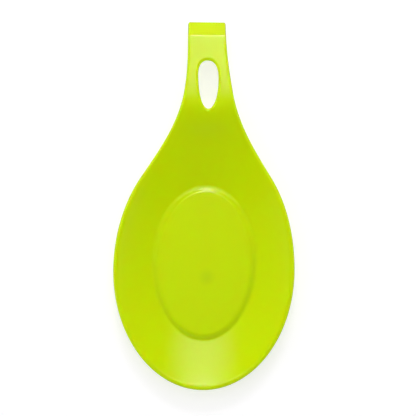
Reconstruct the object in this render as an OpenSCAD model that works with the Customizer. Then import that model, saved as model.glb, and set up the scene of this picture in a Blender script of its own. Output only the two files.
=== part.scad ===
// Spoon rest moulded in one piece of silicone: an oval bowl with a raised floor, a neck that climbs
// to the handle, a hanging hole and a lip that turns down at the handle's tip.
// The handle points along +Y, and the foot stands on the plane z = 0, under the middle of the length.

/* [Overall] */
// Length from the bowl's end to the handle's tip
overall_length = 195; // [185:1:205]
// Thickness of the moulding
wall = 2.5; // [2:0.1:3]

/* [Bowl] */
// Width across the widest part of the bowl
bowl_width = 96; // [90:0.2:102]
// Height of the bowl's rim above the table
rim_height = 11.5; // [10:0.5:13]
// Distance from the bowl's end to its widest part
belly_from_end = 63.2; // [60:0.1:67]
// Half length of the oval that the bowl follows past its widest part
shoulder_reach = 71; // [66:0.1:75]
// Length past the widest part over which the bowl follows that oval
shoulder_length = 49.5; // [46:0.5:53]
// Distance from the handle's tip to where the rim starts to climb towards the neck
climb_from_tip = 92; // [88:1:96]

/* [Floor] */
// Width in plan of the bowl's wall at the bowl's end, from the rim to the groove around the floor
end_wall_reach = 26; // [24:0.2:29]
// Width in plan of the bowl's wall at its sides
side_wall_reach = 20.4; // [19:0.2:23]
// Distance in plan from the groove to the neck
neck_wall_reach = 29.1; // [26:0.1:32]
// Height of the oval floor above the groove around it
floor_rise = 1.5; // [1:0.1:2]
// Width of the rounded side of the oval floor
step_width = 3.7; // [3:0.1:4.4]
// Share of that width that curves up from the groove, before it rounds over to the floor
step_root_share = 0.15; // [0.1:0.05:0.4]
// Width of the foot ring between the hollow under the floor and the groove
foot_width = 4; // [3:0.5:6]
// Depth that is cut from the underside so that the foot stands flat
foot_flat = 0.15; // [0.05:0.05:0.3]
// Width of the curve from the groove into the bowl's wall
root_width = 1.2; // [0.8:0.1:2]

/* [Neck] */
// Distance from the handle's tip to the neck, where the bowl's wall passes into the handle
neck_from_tip = 57.5; // [56:0.5:59]
// Height of the neck's upper face above the table there
neck_height = 15.4; // [14.5:0.1:16.5]
// Steepness of the neck there
neck_angle = 31; // [28:1:34]
// Steepness of the bowl's wall where it leaves the floor towards the neck
wall_angle = 22; // [18:1:25]
// Depth of the trough across the neck
trough_depth = 0.8; // [0.4:0.1:1.2]
// Length over which the trough runs out into the handle
trough_length = 9; // [7:0.5:9.5]

/* [Handle] */
// Width of the handle where the neck's flare ends
handle_width = 26; // [25:0.1:27]
// Distance from the handle's tip to where the neck's flare ends
flare_from_tip = 39; // [37:0.5:41]
// Angle between each side of the handle and its centreline there
side_angle = 10.7; // [9:0.1:12]
// Width of the handle at its tip
tip_width = 19.9; // [18.5:0.1:21]
// Extra rounding of the tip's corners in plan
tip_corner = 0.2; // [0.1:0.1:0.6]
// Distance from the handle's tip to the highest point of the handle
crest_from_tip = 42; // [41:0.5:45]
// Height of the handle's highest point above the table
crest_height = 21.8; // [20:0.2:23]
// Steepness of the handle's straight fall before the lip
fall_angle = 16; // [13:1:18]
// Distance from the handle's tip to where that straight fall starts
fall_from_tip = 24; // [21:0.5:27]
// Distance from the handle's tip to the middle of the bend
bend_from_tip = 7.7; // [7:0.1:9]
// Radius of the bend, on the upper face
bend_radius = 3; // [2.4:0.1:4]
// Steepness of the lip
lip_angle = 50; // [42:1:54]

/* [Hanging hole] */
// Width of the hole
hole_width = 10.5; // [10:0.1:11.4]
// Distance from the handle's tip to the hole's widest part
hole_from_tip = 29.5; // [28.5:0.1:30]
// Reach of the hole from its widest part towards the tip
hole_reach_tip = 8.2; // [7:0.1:9]
// Reach of the hole from its widest part towards the bowl
hole_reach_bowl = 16.9; // [15:0.1:17.5]
// Exponent of the hole's curve, which is an ellipse at 2 and squarer above it
hole_fullness = 2.25; // [2:0.05:2.6]

/* [Hidden] */

// Stations are distances from the bowl's end along the centreline
neck = overall_length - neck_from_tip;
crest = overall_length - crest_from_tip;
flare = overall_length - flare_from_tip;
fall = overall_length - fall_from_tip;
climb = overall_length - climb_from_tip;
hole = overall_length - hole_from_tip;
shoulder = belly_from_end + shoulder_length;
floor_length = neck - end_wall_reach - neck_wall_reach;
floor_width = bowl_width - 2 * side_wall_reach;
floor_from_end = end_wall_reach + floor_length / 2;
half_wall = wall / 2;
tip = overall_length - half_wall;
half_bowl = bowl_width / 2;

// Facet counts
quarter_steps = 20;
shoulder_steps = 22;
half_columns = 5;
edge_steps = 6;
step_rings = 8;
root_rings = 3;
wall_rings = 6;
neck_rows = 5;
hole_rows = 9;
tip_hole_rows = 6;
fall_rows = 4;
bend_rows = 5;
lip_rows = 3;
corner_rows = 3;

// Small step over which slopes are measured
probe = overall_length / 20000;
// How far the block that trims the foot runs past it
overrun = 1;

// Cubic from height h0 to h1 over a run, with slopes m0 and m1 at its ends, at share t of the run
function cubic(t, run, h0, m0, h1, m1) =
    (2 * t ^ 3 - 3 * t ^ 2 + 1) * h0 + (t ^ 3 - 2 * t ^ 2 + t) * run * m0
    + (3 * t ^ 2 - 2 * t ^ 3) * h1 + (t ^ 3 - t ^ 2) * run * m1;
// Smooth rise from 0 to 1
function ease(t) = 3 * t ^ 2 - 2 * t ^ 3;
function unit(v) = v / norm(v);

// Plan outline: half the width at a station past the bowl's widest part
shoulder_share = shoulder_length / shoulder_reach;
shoulder_half = half_bowl * sqrt(1 - shoulder_share ^ 2);
shoulder_slope = -half_bowl * shoulder_share / shoulder_reach / sqrt(1 - shoulder_share ^ 2);
function outline(y) =
    y < shoulder ? half_bowl * sqrt(1 - ((y - belly_from_end) / shoulder_reach) ^ 2)
    : y < flare ? cubic((y - shoulder) / (flare - shoulder), flare - shoulder,
        shoulder_half, shoulder_slope, handle_width / 2, -tan(side_angle))
    : cubic((y - flare) / flare_from_tip, flare_from_tip,
        handle_width / 2, -tan(side_angle), tip_width / 2, 0);
function outline_slope(y) = (outline(y + probe) - outline(y - probe)) / (2 * probe);
// The middle of the wall ends half a wall inside the outline, where the edge's rounding is centred
function middle_half(y) = outline(y) - half_wall * sqrt(1 + outline_slope(y) ^ 2);
function outline_normal(y) = unit([1, -outline_slope(y)]);

// Side profile: height of the middle of the wall on the centreline, from the neck to the tip
neck_z = neck_height + foot_flat - half_wall;
crest_z = crest_height + foot_flat - half_wall;
bend_middle = bend_radius - half_wall;
bend_run = bend_middle * (sin(lip_angle) - sin(fall_angle));
bend_start = overall_length - bend_from_tip - bend_run / 2;
bend_end = bend_start + bend_run;
fall_z = crest_z - tan(fall_angle) * (fall - crest) / 2;
bend_start_z = fall_z - tan(fall_angle) * (bend_start - fall);
bend_end_z = bend_start_z - bend_middle * (cos(fall_angle) - cos(lip_angle));
function spine(y) =
    y < crest ? cubic((y - neck) / (crest - neck), crest - neck, neck_z, tan(neck_angle), crest_z, 0)
    : y < fall ? crest_z - tan(fall_angle) * (y - crest) ^ 2 / (fall - crest) / 2
    : y < bend_start ? fall_z - tan(fall_angle) * (y - fall)
    : y < bend_end ? let (heading = asin(sin(fall_angle) + (y - bend_start) / bend_middle))
        bend_start_z - bend_middle * (cos(fall_angle) - cos(heading))
    : bend_end_z - tan(lip_angle) * (y - bend_end);
function trough(y) = trough_depth * max(0, 1 - (y - neck) / trough_length) ^ 2;
function handle_z(x, y) = spine(y) + trough(y) * (x / middle_half(y)) ^ 2;
function handle_slope(x, y) = [
    handle_z(x + probe, y) - handle_z(x - probe, y),
    handle_z(x, y + probe) - handle_z(x, y - probe)
] / (2 * probe);

// Rim of the bowl: height of the middle of the wall at a station
rim_z = rim_height + foot_flat - half_wall;
neck_edge_z = handle_z(middle_half(neck), neck);
climb_power = 3;
function rim(y) = rim_z + (neck_edge_z - rim_z) * max(0, (y - climb) / (neck - climb)) ^ climb_power;

// A node of the bowl's edge is its place on the middle of the wall and the way outwards in plan
function lower_node(a) =
    let (out = unit([sin(a) / half_bowl, -cos(a) / belly_from_end]))
    let (place = [half_bowl * sin(a), belly_from_end * (1 - cos(a))] - half_wall * out)
    [[place.x, place.y, rim(place.y)], out];
function upper_node(y) = [[middle_half(y), y, rim(y)], outline_normal(y)];
function neck_node(share) =
    let (x = middle_half(neck) * share)
    [[x, neck, handle_z(x, neck)], share == 1 ? outline_normal(neck) : [0, 1]];
function mirrored(n) = [[-n[0].x, n[0].y, n[0].z], [-n[1].x, n[1].y]];

right_edge = concat(
    [for (k = [0 : quarter_steps - 1]) lower_node(90 * k / quarter_steps)],
    [for (k = [0 : shoulder_steps - 1])
        upper_node(belly_from_end + (neck - belly_from_end) * k / shoulder_steps)],
    [for (k = [0 : half_columns]) neck_node(1 - k / half_columns)]);
right_count = len(right_edge);
edge = concat(right_edge, [for (k = [right_count - 2 : -1 : 1]) mirrored(right_edge[k])]);
rays = len(edge);
corner = quarter_steps + shoulder_steps;
function on_neck(i) = i >= corner && i <= corner + 2 * half_columns;

// Each ray runs from the middle of the floor, through the oval around it, to a node of the edge
half_floor = [floor_width / 2, floor_length / 2];
function ray_angle(i) =
    atan2(edge[i][0].x / half_floor.x, (edge[i][0].y - floor_from_end) / half_floor.y);
angles = [for (i = [0 : rays - 1]) ray_angle(i)];
function oval(i, inset) = [
    (half_floor.x - inset) * sin(angles[i]),
    floor_from_end + (half_floor.y - inset) * cos(angles[i])
];
function plan(v) = [v.x, v.y];
feet = [for (i = [0 : rays - 1]) oval(i, 0)];
runs = [for (i = [0 : rays - 1]) norm(plan(edge[i][0]) - feet[i])];
headings = [for (i = [0 : rays - 1]) (plan(edge[i][0]) - feet[i]) / runs[i]];

// The wall is straight along a ray, and eases into the neck's slope near the handle
corner_slope = handle_slope(middle_half(neck), neck);
function straight(i) = (edge[i][0].z - half_wall) / (runs[i] - root_width / 2);
function neck_share(i) = on_neck(i) ? 1 : ease(max(0, (edge[i][0].y - climb) / (neck - climb)));
function end_slope(i) = on_neck(i) ? handle_slope(edge[i][0].x, neck) : corner_slope;
function mirrored_slope(i) = i > corner + half_columns && !on_neck(i)
    ? [-end_slope(i).x, end_slope(i).y] : end_slope(i);
first_slopes = [for (i = [0 : rays - 1])
    straight(i) * (1 - neck_share(i)) + tan(wall_angle) * neck_share(i)];
last_slopes = [for (i = [0 : rays - 1])
    straight(i) * (1 - neck_share(i)) + headings[i] * mirrored_slope(i) * neck_share(i)];
function rooted(s) = s < root_width ? s ^ 2 / root_width / 2 : s - root_width / 2;
function wall_z(i, s) =
    let (run = rooted(runs[i]))
    cubic(rooted(s) / run, run, half_wall, first_slopes[i], edge[i][0].z, last_slopes[i]);
function wall_slope(i, s) = (wall_z(i, s + probe) - wall_z(i, s - probe)) / (2 * probe);

// Rings of the wall, from the groove to the edge
function ring_place(i, j) = j < root_rings ? root_width * j / root_rings
    : root_width + (runs[i] - root_width) * (j - root_rings) / wall_rings;
last_ring = root_rings + wall_rings;
function wall_point(i, j) =
    let (s = ring_place(i, j), place = feet[i] + headings[i] * s)
    [place.x, place.y, wall_z(i, s)];
middle = [for (j = [0 : last_ring]) [for (i = [0 : rays - 1]) wall_point(i, j)]];
function upright(slope) = unit([-slope.x, -slope.y, 1]);
function wall_normal(i, j) =
    let (s = ring_place(i, j), outward = [headings[i].x, headings[i].y, wall_slope(i, s)])
    let (around = middle[j][(i + 1) % rays] - middle[j][(i + rays - 1) % rays])
    j == last_ring && on_neck(i) ? upright(handle_slope(edge[i][0].x, neck))
    : unit(cross(outward, around));

// Rows of the handle, from the neck to the tip
hole_mid_tip = hole_reach_tip + half_wall;
hole_mid_bowl = hole_reach_bowl + half_wall;
hole_mid_half = hole_width / 2 + half_wall;
hole_start = hole - hole_mid_bowl;
hole_end = hole + hole_mid_tip;
lip_end = tip - tip_corner;
stations = concat(
    [for (k = [0 : neck_rows - 1]) neck + (hole_start - neck) * k / neck_rows],
    [for (k = [0 : hole_rows]) hole - hole_mid_bowl * cos(90 * k / hole_rows)],
    [for (k = [1 : tip_hole_rows]) hole + hole_mid_tip * sin(90 * k / tip_hole_rows)],
    [for (k = [1 : fall_rows]) hole_end + (bend_start - hole_end) * k / fall_rows],
    [for (k = [1 : bend_rows]) bend_start + bend_run * k / bend_rows],
    [for (k = [1 : lip_rows]) bend_end + (lip_end - bend_end) * k / lip_rows],
    [for (k = [1 : corner_rows]) lip_end + tip_corner * sin(90 * k / corner_rows)]);
rows = len(stations);
first_hole_row = neck_rows;
last_hole_row = neck_rows + hole_rows + tip_hole_rows;
first_corner_row = rows - corner_rows;
function in_hole(r) = r > first_hole_row && r < last_hole_row;
function hole_reach(y) = y < hole ? hole_mid_bowl : hole_mid_tip;
// Share of the way from the hole's widest part to its end
function hole_away(r) = abs(stations[r] - hole) / hole_reach(stations[r]);
function hole_half(r) = in_hole(r)
    ? hole_mid_half * (1 - hole_away(r) ^ hole_fullness) ^ (1 / hole_fullness) : 0;
function corner_angle(r) = 90 * max(0, r - first_corner_row + 1) / corner_rows;
function row_half(r) = middle_half(min(stations[r], lip_end)) - tip_corner * (1 - cos(corner_angle(r)));
// Columns run from the right edge to the middle, then from the middle to the left edge
columns = 2 * half_columns + 2;
function column_x(r, q) =
    let (right = q <= half_columns, c = right ? q : columns - 1 - q)
    let (x = row_half(r) + (hole_half(r) - row_half(r)) * c / half_columns)
    right ? x : -x;
function row_point(r, q) = [column_x(r, q), stations[r], handle_z(column_x(r, q), stations[r])];
function row_normal(r, q) = upright(handle_slope(column_x(r, q), stations[r]));

// Grid nodes in order: the middle of the floor, its sloping side, the wall's rings, the handle's rows
function step_share(j) = 1 - j / step_rings;
function step_rise(j) = let (t = step_share(j)) floor_rise * (t < step_root_share ? t ^ 2 / step_root_share
    : 1 - (1 - t) ^ 2 / (1 - step_root_share));
function floor_top(i, j) = let (place = oval(i, step_width * step_share(j)))
    [place.x, place.y, wall + step_rise(j)];
function floor_under(i, j) = let (place = oval(i, step_width * step_share(j) + foot_width))
    [place.x, place.y, step_rise(j)];
function faces_of_wall(side) = concat(
    [for (j = [0 : last_ring]) for (i = [0 : rays - 1])
        middle[j][i] + side * half_wall * wall_normal(i, j)],
    [for (r = [1 : rows - 1]) for (q = [0 : columns - 1])
        row_point(r, q) + side * half_wall * row_normal(r, q)]);
upper = concat([[0, floor_from_end, wall + floor_rise]],
    [for (j = [0 : step_rings - 1]) for (i = [0 : rays - 1]) floor_top(i, j)], faces_of_wall(1));
under = concat([[0, floor_from_end, floor_rise]],
    [for (j = [0 : step_rings - 1]) for (i = [0 : rays - 1]) floor_under(i, j)], faces_of_wall(-1));
count = len(upper);
rings = step_rings + last_ring;
function ring_node(j, i) = 1 + j * rays + i % rays;
first_row_node = 1 + (rings + 1) * rays;
function row_node(r, q) =
    let (past_middle = q > half_columns, shared = past_middle && !in_hole(r))
    r == 0 ? ring_node(rings, corner + (past_middle ? q - 1 : q))
    : first_row_node + (r - 1) * columns + (shared && q == half_columns + 1 ? half_columns : q);

// The edge's rounding runs along a chain of [grid node, middle of the wall, upright, way outwards]
function edge_link(i) = [ring_node(rings, i), middle[last_ring][i], wall_normal(i, last_ring), edge[i][1]];
function side_out(r) = r < first_corner_row ? outline_normal(stations[r])
    : [cos(corner_angle(r)), sin(corner_angle(r))];
function row_link(r, q, out) = [row_node(r, q), row_point(r, q), row_normal(r, q), out];
function hole_out(r, side) = let (power = hole_fullness - 1)
    unit([-side * (hole_half(r) / hole_mid_half) ^ power / hole_mid_half,
        sign(hole - stations[r]) * hole_away(r) ^ power / hole_reach(stations[r])]);
outer_chain = concat(
    [for (i = [0 : corner]) edge_link(i)],
    [for (r = [1 : rows - 1]) row_link(r, 0, side_out(r))],
    [for (q = [1 : columns - 2]) if (q != half_columns) row_link(rows - 1, q, [0, 1])],
    [for (r = [rows - 1 : -1 : 1]) row_link(r, columns - 1, [-side_out(r).x, side_out(r).y])],
    [for (i = [corner + 2 * half_columns : rays - 1]) edge_link(i)]);
hole_chain = concat(
    [row_link(first_hole_row, half_columns, [0, 1])],
    [for (r = [first_hole_row + 1 : last_hole_row - 1]) row_link(r, half_columns + 1, hole_out(r, -1))],
    [row_link(last_hole_row, half_columns, [0, -1])],
    [for (r = [last_hole_row - 1 : -1 : first_hole_row + 1]) row_link(r, half_columns, hole_out(r, 1))]);
// The way outwards lies in the wall, so it climbs with the wall's slope
function edge_point(link, k) =
    let (up = link[2], out = unit([link[3].x, link[3].y, -(link[3] * plan(up)) / up.z]))
    let (turn = 180 * k / edge_steps)
    link[1] + half_wall * (cos(turn) * up + sin(turn) * out);
function edge_points(chain) = [for (link = chain) for (k = [1 : edge_steps - 1]) edge_point(link, k)];
function edge_node(chain, first, m, k) =
    let (at = m % len(chain))
    k == 0 ? chain[at][0]
    : k == edge_steps ? count + chain[at][0]
    : first + at * (edge_steps - 1) + k - 1;

// Faces, each quad as two triangles seen clockwise from outside
function quad(a, b, c, d) = [[a, b, c], [a, c, d]];
function shifted(face, by) = [for (k = [2 : -1 : 0]) face[k] + by];
fan = [for (i = [0 : rays - 1]) [0, ring_node(0, i + 1), ring_node(0, i)]];
ring_faces = [for (j = [0 : rings - 1]) for (i = [0 : rays - 1])
    each quad(ring_node(j, i), ring_node(j, i + 1), ring_node(j + 1, i + 1), ring_node(j + 1, i))];
row_faces = [for (r = [0 : rows - 2]) for (q = [0 : columns - 2]) if (q != half_columns)
    each quad(row_node(r, q), row_node(r, q + 1), row_node(r + 1, q + 1), row_node(r + 1, q))];
function chain_faces(chain, first) = [for (m = [0 : len(chain) - 1]) for (k = [0 : edge_steps - 1])
    each quad(edge_node(chain, first, m, k), edge_node(chain, first, m + 1, k),
        edge_node(chain, first, m + 1, k + 1), edge_node(chain, first, m, k + 1))];
upper_faces = concat(fan, ring_faces, row_faces);
under_faces = [for (face = upper_faces) shifted(face, count)];
outer_first = 2 * count;
hole_first = outer_first + len(outer_chain) * (edge_steps - 1);

module shell() {
    polyhedron(
        points = concat(upper, under, edge_points(outer_chain), edge_points(hole_chain)),
        faces = concat(upper_faces, under_faces,
            chain_faces(outer_chain, outer_first), chain_faces(hole_chain, hole_first)));
}

// Block under the table's plane, which leaves the foot flat
module below_table() {
    translate([-half_bowl, 0, -overrun])
        cube([bowl_width, overall_length, overrun]);
}

module spoon_rest() {
    color("#bfdd08")
        translate([0, -overall_length / 2, 0])
            difference() {
                translate([0, 0, -foot_flat]) shell();
                below_table();
            }
}

spoon_rest();
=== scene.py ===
"""A lime green silicone spoon rest, dressed for a studio picture from straight above.

The moulding is one sheet of even thickness: an oval bowl around a raised floor, a neck that climbs to the
handle, a hanging hole and a lip that turns down at the tip. It is built here from the same sizes as the part.
"""

import math

import bmesh
import bpy
import numpy as np
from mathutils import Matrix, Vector


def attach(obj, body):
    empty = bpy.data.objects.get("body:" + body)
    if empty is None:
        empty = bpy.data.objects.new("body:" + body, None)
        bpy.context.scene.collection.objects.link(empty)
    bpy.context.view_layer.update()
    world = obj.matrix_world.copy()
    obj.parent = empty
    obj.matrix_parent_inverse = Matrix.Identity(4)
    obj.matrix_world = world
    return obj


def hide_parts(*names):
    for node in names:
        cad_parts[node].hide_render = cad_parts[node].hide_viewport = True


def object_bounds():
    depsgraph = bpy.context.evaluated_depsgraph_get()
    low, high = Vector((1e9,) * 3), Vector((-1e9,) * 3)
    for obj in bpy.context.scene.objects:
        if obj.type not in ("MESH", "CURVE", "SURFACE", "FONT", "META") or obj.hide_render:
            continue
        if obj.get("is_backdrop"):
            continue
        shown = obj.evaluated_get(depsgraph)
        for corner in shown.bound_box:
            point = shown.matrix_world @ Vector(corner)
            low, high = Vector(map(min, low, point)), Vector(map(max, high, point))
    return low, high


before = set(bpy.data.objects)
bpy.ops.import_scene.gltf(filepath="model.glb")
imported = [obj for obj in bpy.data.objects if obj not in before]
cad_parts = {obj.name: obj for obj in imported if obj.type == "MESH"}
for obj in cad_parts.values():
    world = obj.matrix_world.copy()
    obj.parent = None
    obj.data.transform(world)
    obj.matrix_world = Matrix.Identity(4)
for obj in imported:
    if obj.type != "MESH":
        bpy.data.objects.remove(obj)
CAD_LOW, CAD_HIGH = (tuple(corner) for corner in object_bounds())
NODE = "spoon_rest"
MM = 0.001
WELD = 0.0001 * MM  # points closer than this are one
WHITE = (1, 1, 1, 1)
SHADE = (0.5, 0.47, 0.5, 1)  # colour of the overexposed table, which tints its shadow

bl_info = {
    "name": "Spoon Rest",
    "version": (1, 0, 0),
    "blender": (4, 5, 0),
    "location": "3D View > Sidebar > Spoon Rest",
    "description": "Builds a moulded silicone spoon rest and the studio it stands in",
    "category": "Object",
}


def length(name, description, mm):
    """A length that a user can change, given in millimetres and kept in metres."""
    return bpy.props.FloatProperty(
        name=name, description=description, default=mm * MM, min=0,
        precision=5, subtype="DISTANCE", unit="LENGTH",
    )


def angle(name, description, degrees):
    """An angle that a user can change, given in degrees."""
    return bpy.props.FloatProperty(
        name=name, description=description, default=math.radians(degrees),
        subtype="ANGLE", unit="ROTATION",
    )


def share(name, description, value):
    """A plain number that a user can change."""
    return bpy.props.FloatProperty(name=name, description=description, default=value, min=0)


def colour(name, description, hex_value):
    """A colour that a user can change, given as sRGB hex."""
    return bpy.props.FloatVectorProperty(
        name=name, description=description, default=linear(hex_value),
        min=0, max=1, size=3, subtype="COLOR",
    )


def linear(hex_value):
    """sRGB hex, such as "#bfdd08", as linear red, green and blue."""
    shares = [int(hex_value[k : k + 2], 16) / 255 for k in (1, 3, 5)]
    return tuple(c / 12.92 if c <= 0.04045 else ((c + 0.055) / 1.055) ** 2.4 for c in shares)


class SpoonRestSizes(bpy.types.PropertyGroup):
    """Real sizes of the moulding."""

    overall_length: length(
        "Length", "From the bowl's end to the handle's tip", (CAD_HIGH[1] - CAD_LOW[1]) / MM
    )
    bowl_width: length("Bowl width", "Across the widest part", 96)
    wall: length("Wall", "Thickness of the moulding", 2.5)
    edge_reach: length("Edge reach", "Width in plan of the rounded edge", 1.6)
    tip_reach: length("Tip reach", "The same at the handle's tip", 0.7)
    rim_lean: angle("Rim lean", "How far the rim's land leans outwards", 13)
    rim_height: length("Rim height", "Height of the bowl's rim above the table", 11.5)
    belly_from_end: length("Belly", "From the bowl's end to its widest part", 63.2)
    shoulder_reach: length("Shoulder reach", "Half length of the oval past the widest part", 71)
    shoulder_length: length("Shoulder length", "How far the bowl follows that oval", 49.5)
    climb_from_tip: length("Climb", "From the tip to where the rim starts to climb", 92)
    end_wall_reach: length("Wall at the end", "Width in plan of the wall at the bowl's end", 26)
    side_wall_reach: length("Wall at the sides", "Width in plan of the wall at the sides", 20.4)
    neck_wall_reach: length("Wall at the neck", "From the groove to the neck, in plan", 29.1)
    wall_cup: share("Wall cup", "How far the slope at the wall's foot and rim departs from its mean", 0.27)
    floor_rise: length("Floor rise", "Height of the floor above its groove at the bowl's end", 1.6)
    neck_floor_rise: length("Floor rise at the neck", "The same at the neck's end", 1.15)
    step_width: length("Step width", "Width of the floor's rounded side", 3.9)
    step_root_share: share("Step root", "Share of it that curves up from the groove, at the bowl's end", 0.2)
    neck_step_root_share: share("Step root at the neck", "The same at the neck's end", 0.66)
    foot_width: length("Foot width", "Width of the foot ring on the underside", 4)
    foot_flat: length("Foot flat", "Depth by which the foot is flattened", 0.15)
    root_width: length("Wall root", "Width of the curve from the groove into the wall", 1.2)
    neck_from_tip: length("Neck", "From the tip to the neck", 57.5)
    neck_height: length("Neck height", "Height of the neck's upper face", 15.4)
    neck_angle: angle("Neck angle", "Steepness of the neck", 31)
    wall_angle: angle("Wall angle", "Steepness of the wall where it leaves the floor to the neck", 22)
    trough_depth: length("Trough depth", "Depth of the trough across the neck", 0.8)
    trough_length: length("Trough length", "How far the trough runs into the handle", 9)
    handle_width: length("Handle width", "Width where the neck's flare ends", 26)
    flare_from_tip: length("Flare", "From the tip to where the neck's flare ends", 39)
    side_angle: angle("Side angle", "Between the handle's side and its centreline", 10.7)
    tip_width: length("Tip width", "Width of the handle at its tip", 19.9)
    tip_corner: length("Tip corner", "Extra rounding of the tip's corners", 0.2)
    crest_from_tip: length("Crest", "From the tip to the handle's highest point", 42)
    crest_height: length("Crest height", "Height of the handle's highest point", 21.79)
    fall_angle: angle("Fall", "Steepness of the handle's straight part", 16)
    fall_from_tip: length("Fall's start", "From the tip to where the straight part starts", 24)
    bend_from_tip: length("Bend", "From the tip to the middle of the bend", 8.3)
    bend_radius: length("Bend radius", "Radius of the bend on the upper face", 2.5)
    lip_angle: angle("Lip angle", "Steepness of the lip", 50)
    hole_width: length("Hole width", "Width of the hanging hole", 10.5)
    hole_from_tip: length("Hole place", "From the tip to the hole's widest part", 29.5)
    hole_reach_tip: length("Hole towards the tip", "From its widest part", 8.2)
    hole_reach_bowl: length("Hole towards the bowl", "From its widest part", 16.9)
    hole_fullness: share("Hole fullness", "Exponent of the hole's curve, 2 for an ellipse", 2.25)
    bow: length("Bow", "How far the soft neck has bent to the right", 1.3)
    bow_start: length("Bow start", "From the bowl's end to where the bend starts", 64)
    bow_middle: length("Bow middle", "From the bowl's end to where it is greatest", 155)
    parting_line: length("Parting line", "Height of the mould's line around the edges", 0.06)


class SpoonRestColours(bpy.types.PropertyGroup):
    """Colours and finish of the silicone."""

    silicone: colour("Silicone", "Lime green pigment", "#d8f103")
    deep: colour("Deep silicone", "The same pigment where the mix is denser", "#d9ee02")
    # Colour of the painted reflection, a darker and bluer spot painted on the floor
    painted_reflection: colour("Gate mark", "Dull spot where the mould was filled", "#c8e416")
    roughness: share("Roughness", "Of the satin surface", 0.15)
    translucence: share("Translucence", "Share of the light that enters", 0.5)
    soft_reach: length("Soft reach", "How far green light travels inside", 1.0)


class SpoonRestStudio(bpy.types.PropertyGroup):
    """Camera, lamps and floor."""

    camera_height: length("Camera height", "Of the lens above the table", 1000)
    picture_width: length("Picture width", "Width of the table that the picture shows", 222.1)
    camera_x: length("Camera to the right", "Of the object's middle", 1.77)
    camera_y: length("Camera towards the bowl", "Of the object's middle", 1.1)
    turn: angle("Turn", "How far the camera is turned over the object", 0.71)
    table: colour("Table", "Matt white glass", "#f2f2f2")
    glow: share("Glow", "Light that comes up through the table", 0.2)
    glare: share("Glare", "How far the table is overexposed", 0.63)
    sheen: share("Table sheen", "Brightness of the table in reflections", 0.2)
    lamp_width: length("Lamp width", "Across the picture", 915)
    lamp_length: length("Lamp length", "Along the picture", 270)
    lamp_distance: length("Lamp distance", "From the object's middle", 1400)
    lamp_tilt: angle("Lamp tilt", "From straight above towards the handle", 48.5)
    lamp_radiance: share("Lamp radiance", "Brightness of its middle", 17.5)
    lamp_softness: share("Lamp softness", "Share of its reach over which it fades", 0.7)
    scrim_width: length("Scrim width", "Across the picture", 1610)
    scrim_length: length("Scrim length", "Along the picture", 1400)
    scrim_distance: length("Scrim distance", "From the object's middle", 1600)
    scrim_tilt: angle("Scrim tilt", "From straight above towards the handle", 29.5)
    scrim_radiance: share("Scrim radiance", "Brightness of its middle", 1.8)
    scrim_softness: share("Scrim softness", "Share of its reach over which it fades", 0.7)
    panel_size: length("Panel size", "Width of the soft panels", 1100)
    panel_distance: length("Panel distance", "From the object's middle", 1150)
    panel_tilt: angle("Panel tilt", "Of the outer panels, from straight above", 55)
    top_radiance: share("Top panel", "Brightness of its face", 0.9)
    handle_side_radiance: share("Handle side panel", "Brightness of its face", 0.42)
    bowl_side_radiance: share("Bowl side panel", "Brightness of its face", 0.28)
    left_radiance: share("Left panel", "Brightness of its face", 0.8)
    right_radiance: share("Right panel", "Brightness of its face", 0.42)
    cool: colour("Bowl side panel's colour", "Cool daylight", "#a8fff0")
    horizon: share("Horizon", "Brightness of the white walls at the table's height", 0.62)


def unit(v):
    """A vector of length 1 along v."""
    v = np.asarray(v, float)
    return v / np.linalg.norm(v)


def ease(t):
    """Smooth rise from 0 to 1."""
    return 3 * t**2 - 2 * t**3


def cubic(t, run, h0, m0, h1, m1):
    """Cubic from h0 to h1 over a run, with slopes m0 and m1 at its ends, at share t of the run."""
    return (
        (2 * t**3 - 3 * t**2 + 1) * h0
        + (t**3 - 2 * t**2 + t) * run * m0
        + (3 * t**2 - 2 * t**3) * h1
        + (t**3 - t**2) * run * m1
    )


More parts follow.
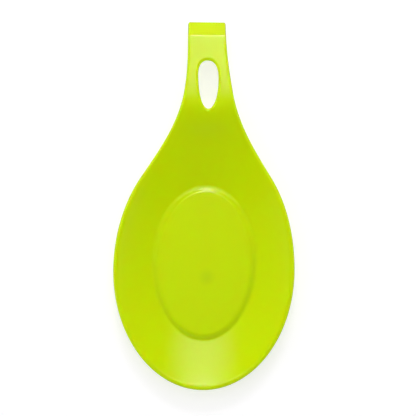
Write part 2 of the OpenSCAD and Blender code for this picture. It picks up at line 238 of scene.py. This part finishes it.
class Form:
    """The moulding's form. A station y is a distance from the bowl's end along the centreline."""

    steps_of_length = 20000  # slopes are measured over one such step to either side

    def __init__(self, s):
        self.s = s
        self.half_wall = s.wall / 2
        self.half_bowl = s.bowl_width / 2
        self.neck = s.overall_length - s.neck_from_tip
        self.crest = s.overall_length - s.crest_from_tip
        self.flare = s.overall_length - s.flare_from_tip
        self.climb = s.overall_length - s.climb_from_tip
        self.hole = s.overall_length - s.hole_from_tip
        self.tip = s.overall_length - self.edge_inset(s.overall_length, s.lip_angle)
        self.rim_inset = self.edge_inset(0, s.rim_lean)
        self.shoulder = s.belly_from_end + s.shoulder_length
        self.probe = s.overall_length / self.steps_of_length
        floor_length = self.neck - s.end_wall_reach - s.neck_wall_reach
        self.half_floor = np.array([self.half_bowl - s.side_wall_reach, floor_length / 2])
        self.floor_middle = np.array([0, s.end_wall_reach + floor_length / 2])
        self.neck_z = s.neck_height + s.foot_flat - self.half_wall
        self.crest_z = s.crest_height + s.foot_flat - self.half_wall
        self.rim_z = s.rim_height + s.foot_flat - self.half_wall
        self.fall = s.overall_length - s.fall_from_tip
        self.bend_middle = s.bend_radius - self.half_wall
        self.bend_run = self.bend_middle * (math.sin(s.lip_angle) - math.sin(s.fall_angle))
        self.bend_start = s.overall_length - s.bend_from_tip - self.bend_run / 2
        self.bend_end = self.bend_start + self.bend_run
        self.neck_edge_z = self.handle_z(self.middle_half(self.neck), self.neck)

    def outline(self, y):
        """Half of the width at a station past the bowl's widest part."""
        s = self.s
        past = s.shoulder_length / s.shoulder_reach
        end_slope = -math.tan(s.side_angle)
        if y < self.shoulder:
            return self.half_bowl * math.sqrt(1 - ((y - s.belly_from_end) / s.shoulder_reach) ** 2)
        if y < self.flare:
            half = self.half_bowl * math.sqrt(1 - past**2)
            slope = -self.half_bowl * past / s.shoulder_reach / math.sqrt(1 - past**2)
            run = self.flare - self.shoulder
            return cubic((y - self.shoulder) / run, run, half, slope, s.handle_width / 2, end_slope)
        run = s.flare_from_tip
        return cubic((y - self.flare) / run, run, s.handle_width / 2, end_slope, s.tip_width / 2, 0)

    def reach(self, y):
        """Half width of the edge's rounding, which is tighter on the lip."""
        s = self.s
        lip = min(1, max(0, (y - s.overall_length + 2 * s.bend_from_tip) / s.bend_from_tip))
        return s.edge_reach + (s.tip_reach - s.edge_reach) * ease(lip)

    def edge_inset(self, y, steepness):
        """How far the edge's rounding reaches in plan from its middle."""
        return math.hypot(self.reach(y) * math.cos(steepness), self.half_wall * math.sin(steepness))

    def outline_slope(self, y):
        """How fast the half width grows at a station."""
        return (self.outline(y + self.probe) - self.outline(y - self.probe)) / (2 * self.probe)

    def outline_normal(self, y):
        """The way out of the outline in plan, on the right side."""
        return unit([1, -self.outline_slope(y)])

    def middle_half(self, y):
        """Half width of the middle of the wall, which ends where the edge's rounding is centred."""
        inset = self.rim_inset + (self.reach(y) - self.rim_inset) * self.level(y)
        return self.outline(y) - inset * math.sqrt(1 + self.outline_slope(y) ** 2)

    def level(self, y):
        """Share by which the rim has turned into the handle's level edge."""
        return ease(min(1, max(0, (y - self.climb) / (self.neck - self.climb))))

    def spine(self, y):
        """Height of the middle of the wall on the centreline, from the neck to the tip."""
        s = self.s
        fall, lip = s.fall_angle, s.lip_angle
        if y < self.crest:
            run = self.crest - self.neck
            return cubic((y - self.neck) / run, run, self.neck_z, math.tan(s.neck_angle), self.crest_z, 0)
        if y < self.fall:
            return self.crest_z - math.tan(fall) * (y - self.crest) ** 2 / (self.fall - self.crest) / 2
        fall_z = self.crest_z - math.tan(fall) * (self.fall - self.crest) / 2
        if y < self.bend_start:
            return fall_z - math.tan(fall) * (y - self.fall)
        bend_start_z = fall_z - math.tan(fall) * (self.bend_start - self.fall)
        if y < self.bend_end:
            heading = math.asin(math.sin(fall) + (y - self.bend_start) / self.bend_middle)
            return bend_start_z - self.bend_middle * (math.cos(fall) - math.cos(heading))
        bend_end_z = bend_start_z - self.bend_middle * (math.cos(fall) - math.cos(lip))
        return bend_end_z - math.tan(lip) * (y - self.bend_end)

    def handle_z(self, x, y):
        """Height of the middle of the wall on the handle, with the trough across the neck."""
        trough = self.s.trough_depth * max(0, 1 - (y - self.neck) / self.s.trough_length) ** 2
        return self.spine(y) + trough * (x / self.middle_half(y)) ** 2

    def handle_slope(self, x, y):
        """The handle's slopes across and along."""
        p = self.probe
        across = self.handle_z(x + p, y) - self.handle_z(x - p, y)
        along = self.handle_z(x, y + p) - self.handle_z(x, y - p)
        return np.array([across, along]) / (2 * p)

    def rim(self, y):
        """Height of the middle of the wall at the bowl's rim."""
        climbed = max(0, (y - self.climb) / (self.neck - self.climb))
        return self.rim_z + (self.neck_edge_z - self.rim_z) * climbed**3

    def step(self, t, neck_share):
        """Rise of the floor's side at share t of its width. It is steeper at the bowl's end."""
        s = self.s
        root = s.step_root_share + (s.neck_step_root_share - s.step_root_share) * neck_share
        rise = s.floor_rise + (s.neck_floor_rise - s.floor_rise) * neck_share
        return rise * (t * t / root if t < root else 1 - (1 - t) ** 2 / (1 - root))

    def hole_half(self, y):
        """Half width of the hole in the middle of the wall, and the way into it on the right side."""
        s = self.s
        reach = (s.hole_reach_bowl if y < self.hole else s.hole_reach_tip) + s.edge_reach
        widest, n = s.hole_width / 2 + s.edge_reach, s.hole_fullness
        away = (y - self.hole) / reach
        half = widest * max(0.0, 1 - abs(away) ** n) ** (1 / n)
        inwards = [-((half / widest) ** (n - 1)) / widest, -math.copysign(abs(away) ** (n - 1), away) / reach]
        return half, unit(inwards)

    def bow(self, y):
        """Shift of the soft neck and handle to the right."""
        s = self.s
        if y < s.bow_middle:
            return s.bow * ease(max(0.0, (y - s.bow_start) / (s.bow_middle - s.bow_start)))
        return s.bow * ease(max(0.0, (s.overall_length - y) / (s.overall_length - s.bow_middle)))

    def upright(self, x, y):
        """The way out of the handle's upper face."""
        slope = self.handle_slope(x, y)
        return unit([-slope[0], -slope[1], 1])


class Counts:
    """How finely the moulding is divided."""

    quarter = 48
    shoulder = 56
    half_columns = 12
    edge = 16
    step = 14
    root = 8
    wall = 14
    wall_packing = 1.6  # exponent that brings the wall's rings closer towards the rim
    neck_rows = 12
    hole_rows = 24
    tip_hole_rows = 16
    fall_rows = 12
    bend_rows = 12
    lip_rows = 8
    corner_rows = 4


def edge_of_bowl(form):
    """Nodes around the bowl's edge and across the neck: the middle of the wall, and the way out in plan."""
    s, n = form.s, Counts
    right = []
    for k in range(n.quarter):
        a = math.pi / 2 * k / n.quarter
        out = unit([math.sin(a) / form.half_bowl, -math.cos(a) / s.belly_from_end])
        edge = np.array([form.half_bowl * math.sin(a), s.belly_from_end * (1 - math.cos(a))])
        place = edge - form.rim_inset * out
        right.append((np.array([*place, form.rim(place[1])]), out))
    for k in range(n.shoulder):
        y = s.belly_from_end + (form.neck - s.belly_from_end) * k / n.shoulder
        right.append((np.array([form.middle_half(y), y, form.rim(y)]), form.outline_normal(y)))
    for k in range(n.half_columns + 1):
        x = form.middle_half(form.neck) * (1 - k / n.half_columns)
        out = form.outline_normal(form.neck) if k == 0 else np.array([0.0, 1.0])
        right.append((np.array([x, form.neck, form.handle_z(x, form.neck)]), out))
    left = [(place * [-1, 1, 1], out * [-1, 1]) for place, out in right[-2:0:-1]]
    return right + left


class Sheet:
    """The moulding's mesh. Each node has a point on the upper face and one on the underside."""

    def __init__(self, form):
        self.form = form
        self.mesh = bmesh.new()
        self.upper, self.under = [], []

    def point(self, co):
        """A point, moved to the frame's origin and with the foot pressed flat on the table."""
        s = self.form.s
        x = co[0] + self.form.bow(co[1])
        return self.mesh.verts.new((x, co[1] - s.overall_length / 2, max(0.0, co[2] - s.foot_flat)))

    def add(self, upper, under):
        """A node with its point on either face."""
        self.upper.append(self.point(upper))
        self.under.append(self.point(under))
        return len(self.upper) - 1

    def node(self, middle, up):
        """A node half a wall above and below the middle of the wall."""
        return self.add(middle + self.form.half_wall * up, middle - self.form.half_wall * up)

    def face(self, nodes):
        """A face between nodes in counter-clockwise order from above, and the one under it."""
        ring = list(dict.fromkeys(nodes))
        if len(ring) > 2:
            self.mesh.faces.new([self.upper[n] for n in ring])
            self.mesh.faces.new([self.under[n] for n in reversed(ring)])

    def round_edge(self, chain, ridge):
        """Rounds the edge along a chain of links: (node, middle of the wall, upright, way out in plan).

        The middle of the rounding stands out by the ridge that the mould's halves leave.
        """
        strips, half_wall = [], self.form.half_wall
        for node, middle, up, out in chain:
            out = unit([out[0], out[1], -(out @ up[:2]) / up[2]])
            strip = [self.upper[node]]
            for k in range(1, Counts.edge):
                turn = math.pi * k / Counts.edge
                reach = self.form.reach(middle[1]) - ridge * (k != Counts.edge // 2)
                rounded = half_wall * math.cos(turn) * up + reach * math.sin(turn) * out
                strip.append(self.point(middle + rounded))
            strips.append(strip + [self.under[node]])
        for strip, following in zip(strips, strips[1:] + strips[:1]):
            for k in range(Counts.edge):
                self.mesh.faces.new((strip[k], strip[k + 1], following[k + 1], following[k]))


class Ray:
    """A way up the bowl's wall, straight in plan, from its foot to a node of the bowl's edge."""

    def __init__(self, form, place, out, across):
        s = form.s
        self.form, self.place, self.out = form, place, out
        self.bearing = unit((place[:2] - form.floor_middle) / form.half_floor)
        self.foot = form.floor_middle + form.half_floor * self.bearing
        self.run = np.linalg.norm(place[:2] - self.foot)
        self.heading = (place[:2] - self.foot) / self.run
        if across:
            self.level, slope = 1, form.handle_slope(place[0], form.neck)
        else:
            self.level = form.level(place[1])
            corner_slope = form.handle_slope(form.middle_half(form.neck), form.neck)
            slope = corner_slope * [math.copysign(1, place[0]), 1]
        mean = (place[2] - form.half_wall) / (self.run - s.root_width / 2)
        self.first = mean * (1 - s.wall_cup) * (1 - self.level) + math.tan(s.wall_angle) * self.level
        self.last = mean * (1 + s.wall_cup) * (1 - self.level) + self.heading @ slope * self.level

    def rooted(self, d):
        """Distance from the foot, shortened by the curve at the wall's root."""
        root = self.form.s.root_width
        return d * d / root / 2 if d < root else d - root / 2

    def wall_z(self, d):
        """Height of the middle of the wall at a distance from its foot."""
        run = self.rooted(self.run)
        return cubic(self.rooted(d) / run, run, self.form.half_wall, self.first, self.place[2], self.last)

    def wall(self, d):
        """The middle of the wall at a distance from its foot, and the way up it."""
        probe = self.form.probe
        slope = (self.wall_z(d + probe) - self.wall_z(d - probe)) / (2 * probe)
        return np.array([*(self.foot + self.heading * d), self.wall_z(d)]), np.array([*self.heading, slope])

    def oval(self, inset):
        """The floor's outline in plan, moved inwards."""
        return self.form.floor_middle + (self.form.half_floor - inset) * self.bearing

    def rim_up(self):
        """Upright of the rim's land, which leans outwards and turns into the handle's face at the neck."""
        form = self.form
        land = unit([*(math.tan(form.s.rim_lean) * self.out), 1])
        return unit(land * (1 - self.level) + form.upright(self.place[0], form.neck) * self.level)


def build_bowl(form, sheet):
    """Floor, step and wall of the bowl. Returns the links along its edge, and which is the right corner."""
    s, n = form.s, Counts
    corner = n.quarter + n.shoulder
    across = range(corner, corner + 2 * n.half_columns + 1)
    rays = [Ray(form, place, out, i in across) for i, (place, out) in enumerate(edge_of_bowl(form))]
    rings = []
    for j in range(n.step):
        ring, inwards = [], 1 - j / n.step
        for ray in rays:
            rise = form.step(inwards, (1 + ray.bearing[1]) / 2)
            upper = ray.oval(s.step_width * inwards)
            under = ray.oval(s.step_width * inwards + s.foot_width)
            ring.append(sheet.add((*upper, s.wall + rise), (*under, rise)))
        rings.append(ring)
    last_ring = n.root + n.wall
    for j in range(last_ring + 1):
        climbed = 1 - (1 - (j - n.root) / n.wall) ** n.wall_packing
        places, ways = [], []
        for ray in rays:
            past_root = s.root_width + (ray.run - s.root_width) * climbed
            place, way = ray.wall(s.root_width * j / n.root if j < n.root else past_root)
            places.append(place)
            ways.append(way)
        if j < last_ring:
            rounds = [after - before for before, after in zip(places[-1:] + places, places[1:] + places[:1])]
            ups = [unit(np.cross(way, along)) for way, along in zip(ways, rounds)]
        else:
            ups = [ray.rim_up() for ray in rays]
        rings.append([sheet.node(place, up) for place, up in zip(places, ups)])
    rise = form.step(1, 0.5)
    middle = sheet.add((*form.floor_middle, s.wall + rise), (*form.floor_middle, rise))
    for i in range(len(rays)):
        after = (i + 1) % len(rays)
        sheet.face((middle, rings[0][i], rings[0][after]))
        for inner, outer in zip(rings, rings[1:]):
            sheet.face((inner[i], outer[i], outer[after], inner[after]))
    return [(*link, ray.out) for *link, ray in zip(rings[-1], places, ups, rays)], corner


def handle_stations(form):
    """Stations of the handle's rows, closer where the hole, the bend and the tip's corners turn."""
    s, n = form.s, Counts
    low, high = s.hole_reach_bowl + s.edge_reach, s.hole_reach_tip + s.edge_reach
    start, end = form.hole - low, form.hole + high
    lip_end = form.tip - s.tip_corner
    quarter = math.pi / 2
    return (
        [form.neck + (start - form.neck) * k / n.neck_rows for k in range(n.neck_rows)]
        + [form.hole - low * math.cos(quarter * k / n.hole_rows) for k in range(n.hole_rows + 1)]
        + [form.hole + high * math.sin(quarter * k / n.tip_hole_rows) for k in range(1, n.tip_hole_rows + 1)]
        + [end + (form.bend_start - end) * k / n.fall_rows for k in range(1, n.fall_rows + 1)]
        + [form.bend_start + form.bend_run * k / n.bend_rows for k in range(1, n.bend_rows + 1)]
        + [form.bend_end + (lip_end - form.bend_end) * k / n.lip_rows for k in range(1, n.lip_rows + 1)]
        + [
            lip_end + s.tip_corner * math.sin(quarter * k / n.corner_rows)
            for k in range(1, n.corner_rows + 1)
        ]
    )


def build_handle(form, sheet, neck_links):
    """The handle from the neck to the lip. Returns its rows of links, each from right to left."""
    s, n = form.s, Counts
    stations = handle_stations(form)
    lip_end = form.tip - s.tip_corner
    first_hole, last_hole = n.neck_rows, n.neck_rows + n.hole_rows + n.tip_hole_rows
    # Each row has its middle link twice: one for each side of the hole, alike where there is no hole
    rows = [neck_links[: n.half_columns + 1] + neck_links[n.half_columns :]]
    for r in range(1, len(stations)):
        y = stations[r]
        turned = math.pi / 2 * max(0, r - (len(stations) - 1 - n.corner_rows)) / n.corner_rows
        half = form.middle_half(min(y, lip_end)) - s.tip_corner * (1 - math.cos(turned))
        out = form.outline_normal(y) if turned == 0 else np.array([math.cos(turned), math.sin(turned)])
        inner, hole_out = 0.0, np.array([0.0, 1.0 if r == first_hole else -1.0])
        if first_hole < r < last_hole:
            inner, hole_out = form.hole_half(y)
        right = []
        for c in range(n.half_columns + 1):
            x = half + (inner - half) * c / n.half_columns
            way = hole_out if c == n.half_columns else out if c == 0 else np.array([0.0, 1.0])
            right.append((np.array([x, y, form.handle_z(x, y)]), form.upright(x, y), way))
        left = [(p * [-1, 1, 1], u * [-1, 1, 1], w * [-1, 1]) for p, u, w in reversed(right)]
        row = [(sheet.node(p, u), p, u, w) for p, u, w in right]
        if inner == 0:
            row.append(row[-1])
            left = left[1:]
        row += [(sheet.node(p, u), p, u, w) for p, u, w in left]
        rows.append(row)
    for below, above in zip(rows, rows[1:]):
        for q in range(2 * n.half_columns + 1):
            if q != n.half_columns:
                sheet.face((below[q + 1][0], below[q][0], above[q][0], above[q + 1][0]))
    return rows, first_hole, last_hole


def build_moulding(sizes):
    """The whole moulding as a mesh."""
    form, n = Form(sizes), Counts
    sheet = Sheet(form)
    bowl, corner = build_bowl(form, sheet)
    past = corner + 2 * n.half_columns
    rows, first_hole, last_hole = build_handle(form, sheet, bowl[corner : past + 1])
    tip = [link[:3] + (np.array([0.0, 1.0]),) for link in rows[-1][1:-1]]
    tip.pop(n.half_columns)
    right, left = [row[0] for row in rows[1:]], [row[-1] for row in rows[:0:-1]]
    outer = bowl[: corner + 1] + right + tip + left + bowl[past:]
    middle = n.half_columns
    hole = [rows[first_hole][middle]] + [row[middle + 1] for row in rows[first_hole + 1 : last_hole]]
    hole += [rows[last_hole][middle]] + [row[middle] for row in rows[last_hole - 1 : first_hole : -1]]
    sheet.round_edge(outer, sizes.parting_line)
    sheet.round_edge(hole, sizes.parting_line)
    bmesh.ops.remove_doubles(sheet.mesh, verts=sheet.mesh.verts, dist=WELD)
    bmesh.ops.recalc_face_normals(sheet.mesh, faces=sheet.mesh.faces)
    for face in sheet.mesh.faces:
        face.smooth = True
    mesh = bpy.data.meshes.new("silicone_moulding")
    sheet.mesh.to_mesh(mesh)
    sheet.mesh.free()
    return mesh


def add(tree, kind, links=(), **settings):
    """Adds a shader node with its settings, and sets or links its inputs: (input, value or socket)."""
    node = tree.nodes.new(kind)
    for name, value in settings.items():
        setattr(node, name, value)
    for name, value in links:
        if isinstance(value, bpy.types.NodeSocket):
            tree.links.new(value, node.inputs[name])
        else:
            node.inputs[name].default_value = value
    return node


def new_material(name):
    """An empty node material and its tree."""
    material = bpy.data.materials.new(name)
    material.use_nodes = True
    material.node_tree.nodes.clear()
    return material, material.node_tree


class Finish:
    """Real sizes of the patterns on the silicone and of the painted reflection, how strong they are, and how
    it carries light.
    """

    streak = 9 * MM
    # Place, reach and strength of the painted reflection on the floor
    reflection_place = (1.6 * MM, -37.9 * MM, 4 * MM)
    reflection_reach = 6 * MM
    reflection_strength = 0.6
    wave = 25 * MM
    wave_height = 0.15 * MM
    grain = 0.6 * MM
    grain_height = 0.02 * MM
    bump_strength = 0.5
    roughness_swing = 0.03
    index = 1.5
    carry = (0.3, 1.0, 0.05)  # red, green and blue, as shares of the soft reach


def silicone_rubber(colours):
    """Platinum-cured silicone, compression moulded in a bead-blasted tool.

    The blasting gives a satin sheen with soft-edged reflections, and the rubber lets light a few
    millimetres in, so thin edges glow and the shade sides stay saturated. Clear silicone has an index of
    1.41, and the filled and pigmented one reflects a little more. Green light is carried the furthest
    inside, and the pigment holds blue back.
    """
    finish = Finish
    material, tree = new_material("lime_silicone_rubber")
    place = add(tree, "ShaderNodeTexCoord").outputs["Object"]
    # Pigment streaks where the mix is a little denser
    streaks = add(tree, "ShaderNodeTexNoise", [
        ("Vector", place), ("Scale", 1 / finish.streak), ("Detail", 2.0)
    ])
    pigment = add(tree, "ShaderNodeMix", [
        ("Factor", streaks.outputs["Fac"]), ("A", (*colours.silicone, 1)), ("B", (*colours.deep, 1))
    ], data_type="RGBA")
    # Painted reflection: a darker, bluer spot painted on the floor, which fades out over its reach
    painted_reflection = add(tree, "ShaderNodeVectorMath", [(0, place), (1, finish.reflection_place)], operation="DISTANCE")
    spot = add(tree, "ShaderNodeMapRange", [
        ("Value", painted_reflection.outputs["Value"]),
        ("From Min", 0.0),
        ("From Max", finish.reflection_reach),
        ("To Min", finish.reflection_strength),
        ("To Max", 0.0),
    ], interpolation_type="SMOOTHSTEP")
    mixed = add(tree, "ShaderNodeMix", [
        ("Factor", spot.outputs["Result"]), ("A", pigment.outputs["Result"]), ("B", (*colours.painted_reflection, 1))
    ], data_type="RGBA")
    # Soft waves, as the flexible moulding never lies quite true
    waves = add(tree, "ShaderNodeTexNoise", [
        ("Vector", place), ("Scale", 1 / finish.wave), ("Detail", 0.0)
    ])
    waved = add(tree, "ShaderNodeBump", [
        ("Height", waves.outputs["Fac"]),
        ("Distance", finish.wave_height),
        ("Strength", finish.bump_strength),
    ])
    # Grain of the blasted tool, which is about 0.1 mm and is drawn coarser so that it shows
    grain = add(tree, "ShaderNodeTexNoise", [
        ("Vector", place), ("Scale", 1 / finish.grain), ("Detail", 3.0)
    ])
    grained = add(tree, "ShaderNodeBump", [
        ("Height", grain.outputs["Fac"]),
        ("Distance", finish.grain_height),
        ("Strength", finish.bump_strength),
        ("Normal", waved.outputs["Normal"]),
    ])
    rough = add(tree, "ShaderNodeMapRange", [
        ("Value", grain.outputs["Fac"]),
        ("To Min", colours.roughness - finish.roughness_swing),
        ("To Max", colours.roughness + finish.roughness_swing),
    ])
    surface = add(tree, "ShaderNodeBsdfPrincipled", [
        ("Base Color", mixed.outputs["Result"]),
        ("Roughness", rough.outputs["Result"]),
        ("IOR", finish.index),
        ("Subsurface Weight", colours.translucence),
        ("Subsurface Radius", finish.carry),
        ("Subsurface Scale", colours.soft_reach),
        ("Normal", grained.outputs["Normal"]),
    ])
    add(tree, "ShaderNodeOutputMaterial", [("Surface", surface.outputs["BSDF"])])
    return material


def light_table(studio):
    """Opal white glass, cast flat and matt, and lit from below.

    To the camera it is overexposed, until only the deepest shadow shows.
    """
    material, tree = new_material("opal_light_table")
    light_path = add(tree, "ShaderNodeLightPath")
    opal = add(tree, "ShaderNodeBsdfDiffuse", [("Color", (*studio.table, 1))])
    glow = add(tree, "ShaderNodeEmission", [("Color", WHITE), ("Strength", studio.glow)])
    lit = add(tree, "ShaderNodeAddShader", [(0, opal.outputs[0]), (1, glow.outputs[0])])
    dim = add(tree, "ShaderNodeEmission", [("Color", WHITE), ("Strength", studio.sheen)])
    bounced = add(tree, "ShaderNodeMixShader", [
        (0, light_path.outputs["Is Glossy Ray"]), (1, lit.outputs[0]), (2, dim.outputs[0])
    ])
    shade = add(tree, "ShaderNodeBsdfDiffuse", [("Color", SHADE)])
    glare = add(tree, "ShaderNodeEmission", [("Color", WHITE), ("Strength", studio.glare)])
    shown = add(tree, "ShaderNodeAddShader", [(0, shade.outputs[0]), (1, glare.outputs[0])])
    surface = add(tree, "ShaderNodeMixShader", [
        (0, light_path.outputs["Is Camera Ray"]), (1, bounced.outputs[0]), (2, shown.outputs[0])
    ])
    add(tree, "ShaderNodeOutputMaterial", [("Surface", surface.outputs[0])])
    return material


def lit_cloth(name, width, height, radiance, softness):
    """Woven diffusing cloth with a lamp behind it: bright in its middle, and clear towards its edge.

    The softness is the share of its reach over which it fades.
    """
    material, tree = new_material(name)
    place = add(tree, "ShaderNodeTexCoord").outputs["Object"]
    centred = add(tree, "ShaderNodeVectorMath", [
        (0, place), (1, (2 / width, 2 / height, 0))
    ], operation="MULTIPLY")
    fade = add(tree, "ShaderNodeTexGradient", [("Vector", centred.outputs[0])], gradient_type="SPHERICAL")
    strength = add(tree, "ShaderNodeMapRange", [
        ("Value", fade.outputs["Fac"]), ("From Max", softness), ("To Max", radiance)
    ])
    glow = add(tree, "ShaderNodeEmission", [
        ("Color", WHITE), ("Strength", strength.outputs["Result"])
    ])
    clear = add(tree, "ShaderNodeBsdfTransparent")
    both = add(tree, "ShaderNodeAddShader", [(0, clear.outputs[0]), (1, glow.outputs[0])])
    add(tree, "ShaderNodeOutputMaterial", [("Surface", both.outputs[0])])
    return material


class SPOONREST_OT_moulding(bpy.types.Operator):
    """Builds the one-piece silicone moulding"""

    bl_idname = "spoonrest.moulding"
    bl_label = "Spoon rest moulding"

    def execute(self, context):
        """Builds the moulding's mesh, gives it its silicone and puts it in the place of the plain solid."""
        scene = context.scene
        mesh = build_moulding(scene.spoon_rest_sizes)
        if not mesh.polygons:
            raise RuntimeError("the moulding has no faces")
        moulding = bpy.data.objects.new("silicone_moulding", mesh)
        scene.collection.objects.link(moulding)
        mesh.materials.append(silicone_rubber(scene.spoon_rest_colours))
        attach(moulding, "root")
        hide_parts(NODE)
        return {"FINISHED"}


class SPOONREST_OT_studio(bpy.types.Operator):
    """Sets out the white table, the lamps and the camera above"""

    bl_idname = "spoonrest.studio"
    bl_label = "Studio"

    table_side = 6.0
    walls_dim_from = 0.2
    walls_dark_from = 0.6
    sensor_width = 36
    clip_end = 10

    def execute(self, context):
        """Sets out the stage from the settings."""
        studio = context.scene.spoon_rest_studio
        outer = studio.panel_tilt
        self.add_sheet(context, "table", self.table_side, self.table_side, light_table(studio))
        self.add_cloth(
            context, "lamp", studio.lamp_width, studio.lamp_length, studio.lamp_radiance,
            studio.lamp_softness, studio.lamp_tilt, studio.lamp_distance,
        )
        self.add_cloth(
            context, "scrim", studio.scrim_width, studio.scrim_length, studio.scrim_radiance,
            studio.scrim_softness, studio.scrim_tilt, studio.scrim_distance,
        )
        self.add_panel(context, "top_panel", studio.top_radiance, 0, 0)
        self.add_panel(context, "handle_side_panel", studio.handle_side_radiance, outer, 0)
        self.add_panel(context, "bowl_side_panel", studio.bowl_side_radiance, -outer, 0, studio.cool)
        self.add_panel(context, "left_panel", studio.left_radiance, 0, outer)
        self.add_panel(context, "right_panel", studio.right_radiance, 0, -outer)
        self.add_surround(context, studio)
        self.add_camera(context, studio)
        context.scene.view_settings.view_transform = "Standard"
        return {"FINISHED"}

    def add_cloth(self, context, name, width, height, radiance, softness, tilt, distance):
        """A lit cloth that the satin surface mirrors."""
        material = lit_cloth(name, width, height, radiance, softness)
        cloth = self.add_sheet(context, name, width, height, material)
        self.aim(cloth, tilt, 0, distance)

    def add_panel(self, context, name, radiance, tilt, turn, tint=(1, 1, 1)):
        """A soft panel too dim and wide to show as a reflection."""
        studio = context.scene.spoon_rest_studio
        lamp = bpy.data.lights.new(name, "AREA")
        lamp.size = studio.panel_size
        lamp.energy = math.pi * studio.panel_size**2 * radiance
        lamp.color = tint
        panel = bpy.data.objects.new(name, lamp)
        panel.visible_glossy = False
        context.scene.collection.objects.link(panel)
        self.aim(panel, tilt, turn, studio.panel_distance)

    def add_sheet(self, context, name, width, height, material):
        """A flat sheet of the stage."""
        x, y = width / 2, height / 2
        mesh = bpy.data.meshes.new(name)
        mesh.from_pydata([(-x, -y, 0), (x, -y, 0), (x, y, 0), (-x, y, 0)], [], [(0, 1, 2, 3)])
        mesh.materials.append(material)
        sheet = bpy.data.objects.new(name, mesh)
        context.scene.collection.objects.link(sheet)
        sheet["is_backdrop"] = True
        return sheet

    def aim(self, item, tilt, turn, distance):
        """Faces an item to the object, tilted from straight above to the handle and turned to the left."""
        level = math.cos(turn)
        out = Vector((-math.sin(turn), level * math.sin(tilt), level * math.cos(tilt)))
        item.location = out * distance
        item.rotation_euler = out.to_track_quat("Z", "Y").to_euler()

    def add_surround(self, context, studio):
        """White walls: bright at the table's height and dark from half way up."""
        world = bpy.data.worlds.new("white_walls")
        world.use_nodes = True
        tree = world.node_tree
        tree.nodes.clear()
        light_path = add(tree, "ShaderNodeLightPath")
        heading = add(tree, "ShaderNodeTexCoord")
        up = add(tree, "ShaderNodeSeparateXYZ", [(0, heading.outputs["Generated"])])
        strength = add(tree, "ShaderNodeMapRange", [
            ("Value", up.outputs["Z"]),
            ("From Min", self.walls_dim_from),
            ("From Max", self.walls_dark_from),
            ("To Min", studio.horizon),
            ("To Max", 0.0),
        ], interpolation_type="SMOOTHSTEP")
        room = add(tree, "ShaderNodeBackground", [
            ("Color", WHITE), ("Strength", strength.outputs["Result"])
        ])
        blank = add(tree, "ShaderNodeBackground", [("Color", WHITE), ("Strength", 1.0)])
        shown = add(tree, "ShaderNodeMixShader", [
            (0, light_path.outputs["Is Camera Ray"]), (1, room.outputs[0]), (2, blank.outputs[0])
        ])
        add(tree, "ShaderNodeOutputWorld", [("Surface", shown.outputs[0])])
        context.scene.world = world

    def add_camera(self, context, studio):
        """The camera straight above, with a lens that shows the picture's width of the table."""
        lens = bpy.data.cameras.new("camera")
        lens.sensor_width = self.sensor_width
        lens.lens = lens.sensor_width * studio.camera_height / studio.picture_width
        lens.clip_end = self.clip_end
        camera = bpy.data.objects.new("camera", lens)
        camera.location = (studio.camera_x, -studio.camera_y, studio.camera_height)
        camera.rotation_euler = (0, 0, studio.turn)
        context.scene.collection.objects.link(camera)
        context.scene.camera = camera


class SPOONREST_PT_panel(bpy.types.Panel):
    """Lists the spoon rest's operators and settings"""

    bl_label = "Spoon Rest"
    bl_idname = "SPOONREST_PT_panel"
    bl_space_type = "VIEW_3D"
    bl_region_type = "UI"
    bl_category = "Spoon Rest"

    def draw(self, context):
        layout, scene = self.layout, context.scene
        layout.operator(SPOONREST_OT_moulding.bl_idname)
        layout.operator(SPOONREST_OT_studio.bl_idname)
        for group in (scene.spoon_rest_sizes, scene.spoon_rest_colours, scene.spoon_rest_studio):
            for name in group.__annotations__:
                layout.prop(group, name)


CLASSES = (
    SpoonRestSizes,
    SpoonRestColours,
    SpoonRestStudio,
    SPOONREST_OT_moulding,
    SPOONREST_OT_studio,
    SPOONREST_PT_panel,
)


def register():
    """Adds the classes and their settings."""
    for cls in CLASSES:
        bpy.utils.register_class(cls)
    bpy.types.Scene.spoon_rest_sizes = bpy.props.PointerProperty(type=SpoonRestSizes)
    bpy.types.Scene.spoon_rest_colours = bpy.props.PointerProperty(type=SpoonRestColours)
    bpy.types.Scene.spoon_rest_studio = bpy.props.PointerProperty(type=SpoonRestStudio)


def unregister():
    """Takes them away again."""
    del bpy.types.Scene.spoon_rest_studio
    del bpy.types.Scene.spoon_rest_colours
    del bpy.types.Scene.spoon_rest_sizes
    for cls in reversed(CLASSES):
        bpy.utils.unregister_class(cls)


def main():
    """Builds the spoon rest and its studio."""
    register()
    bpy.ops.spoonrest.moulding()
    bpy.ops.spoonrest.studio()


if __name__ == "__main__":
    main()
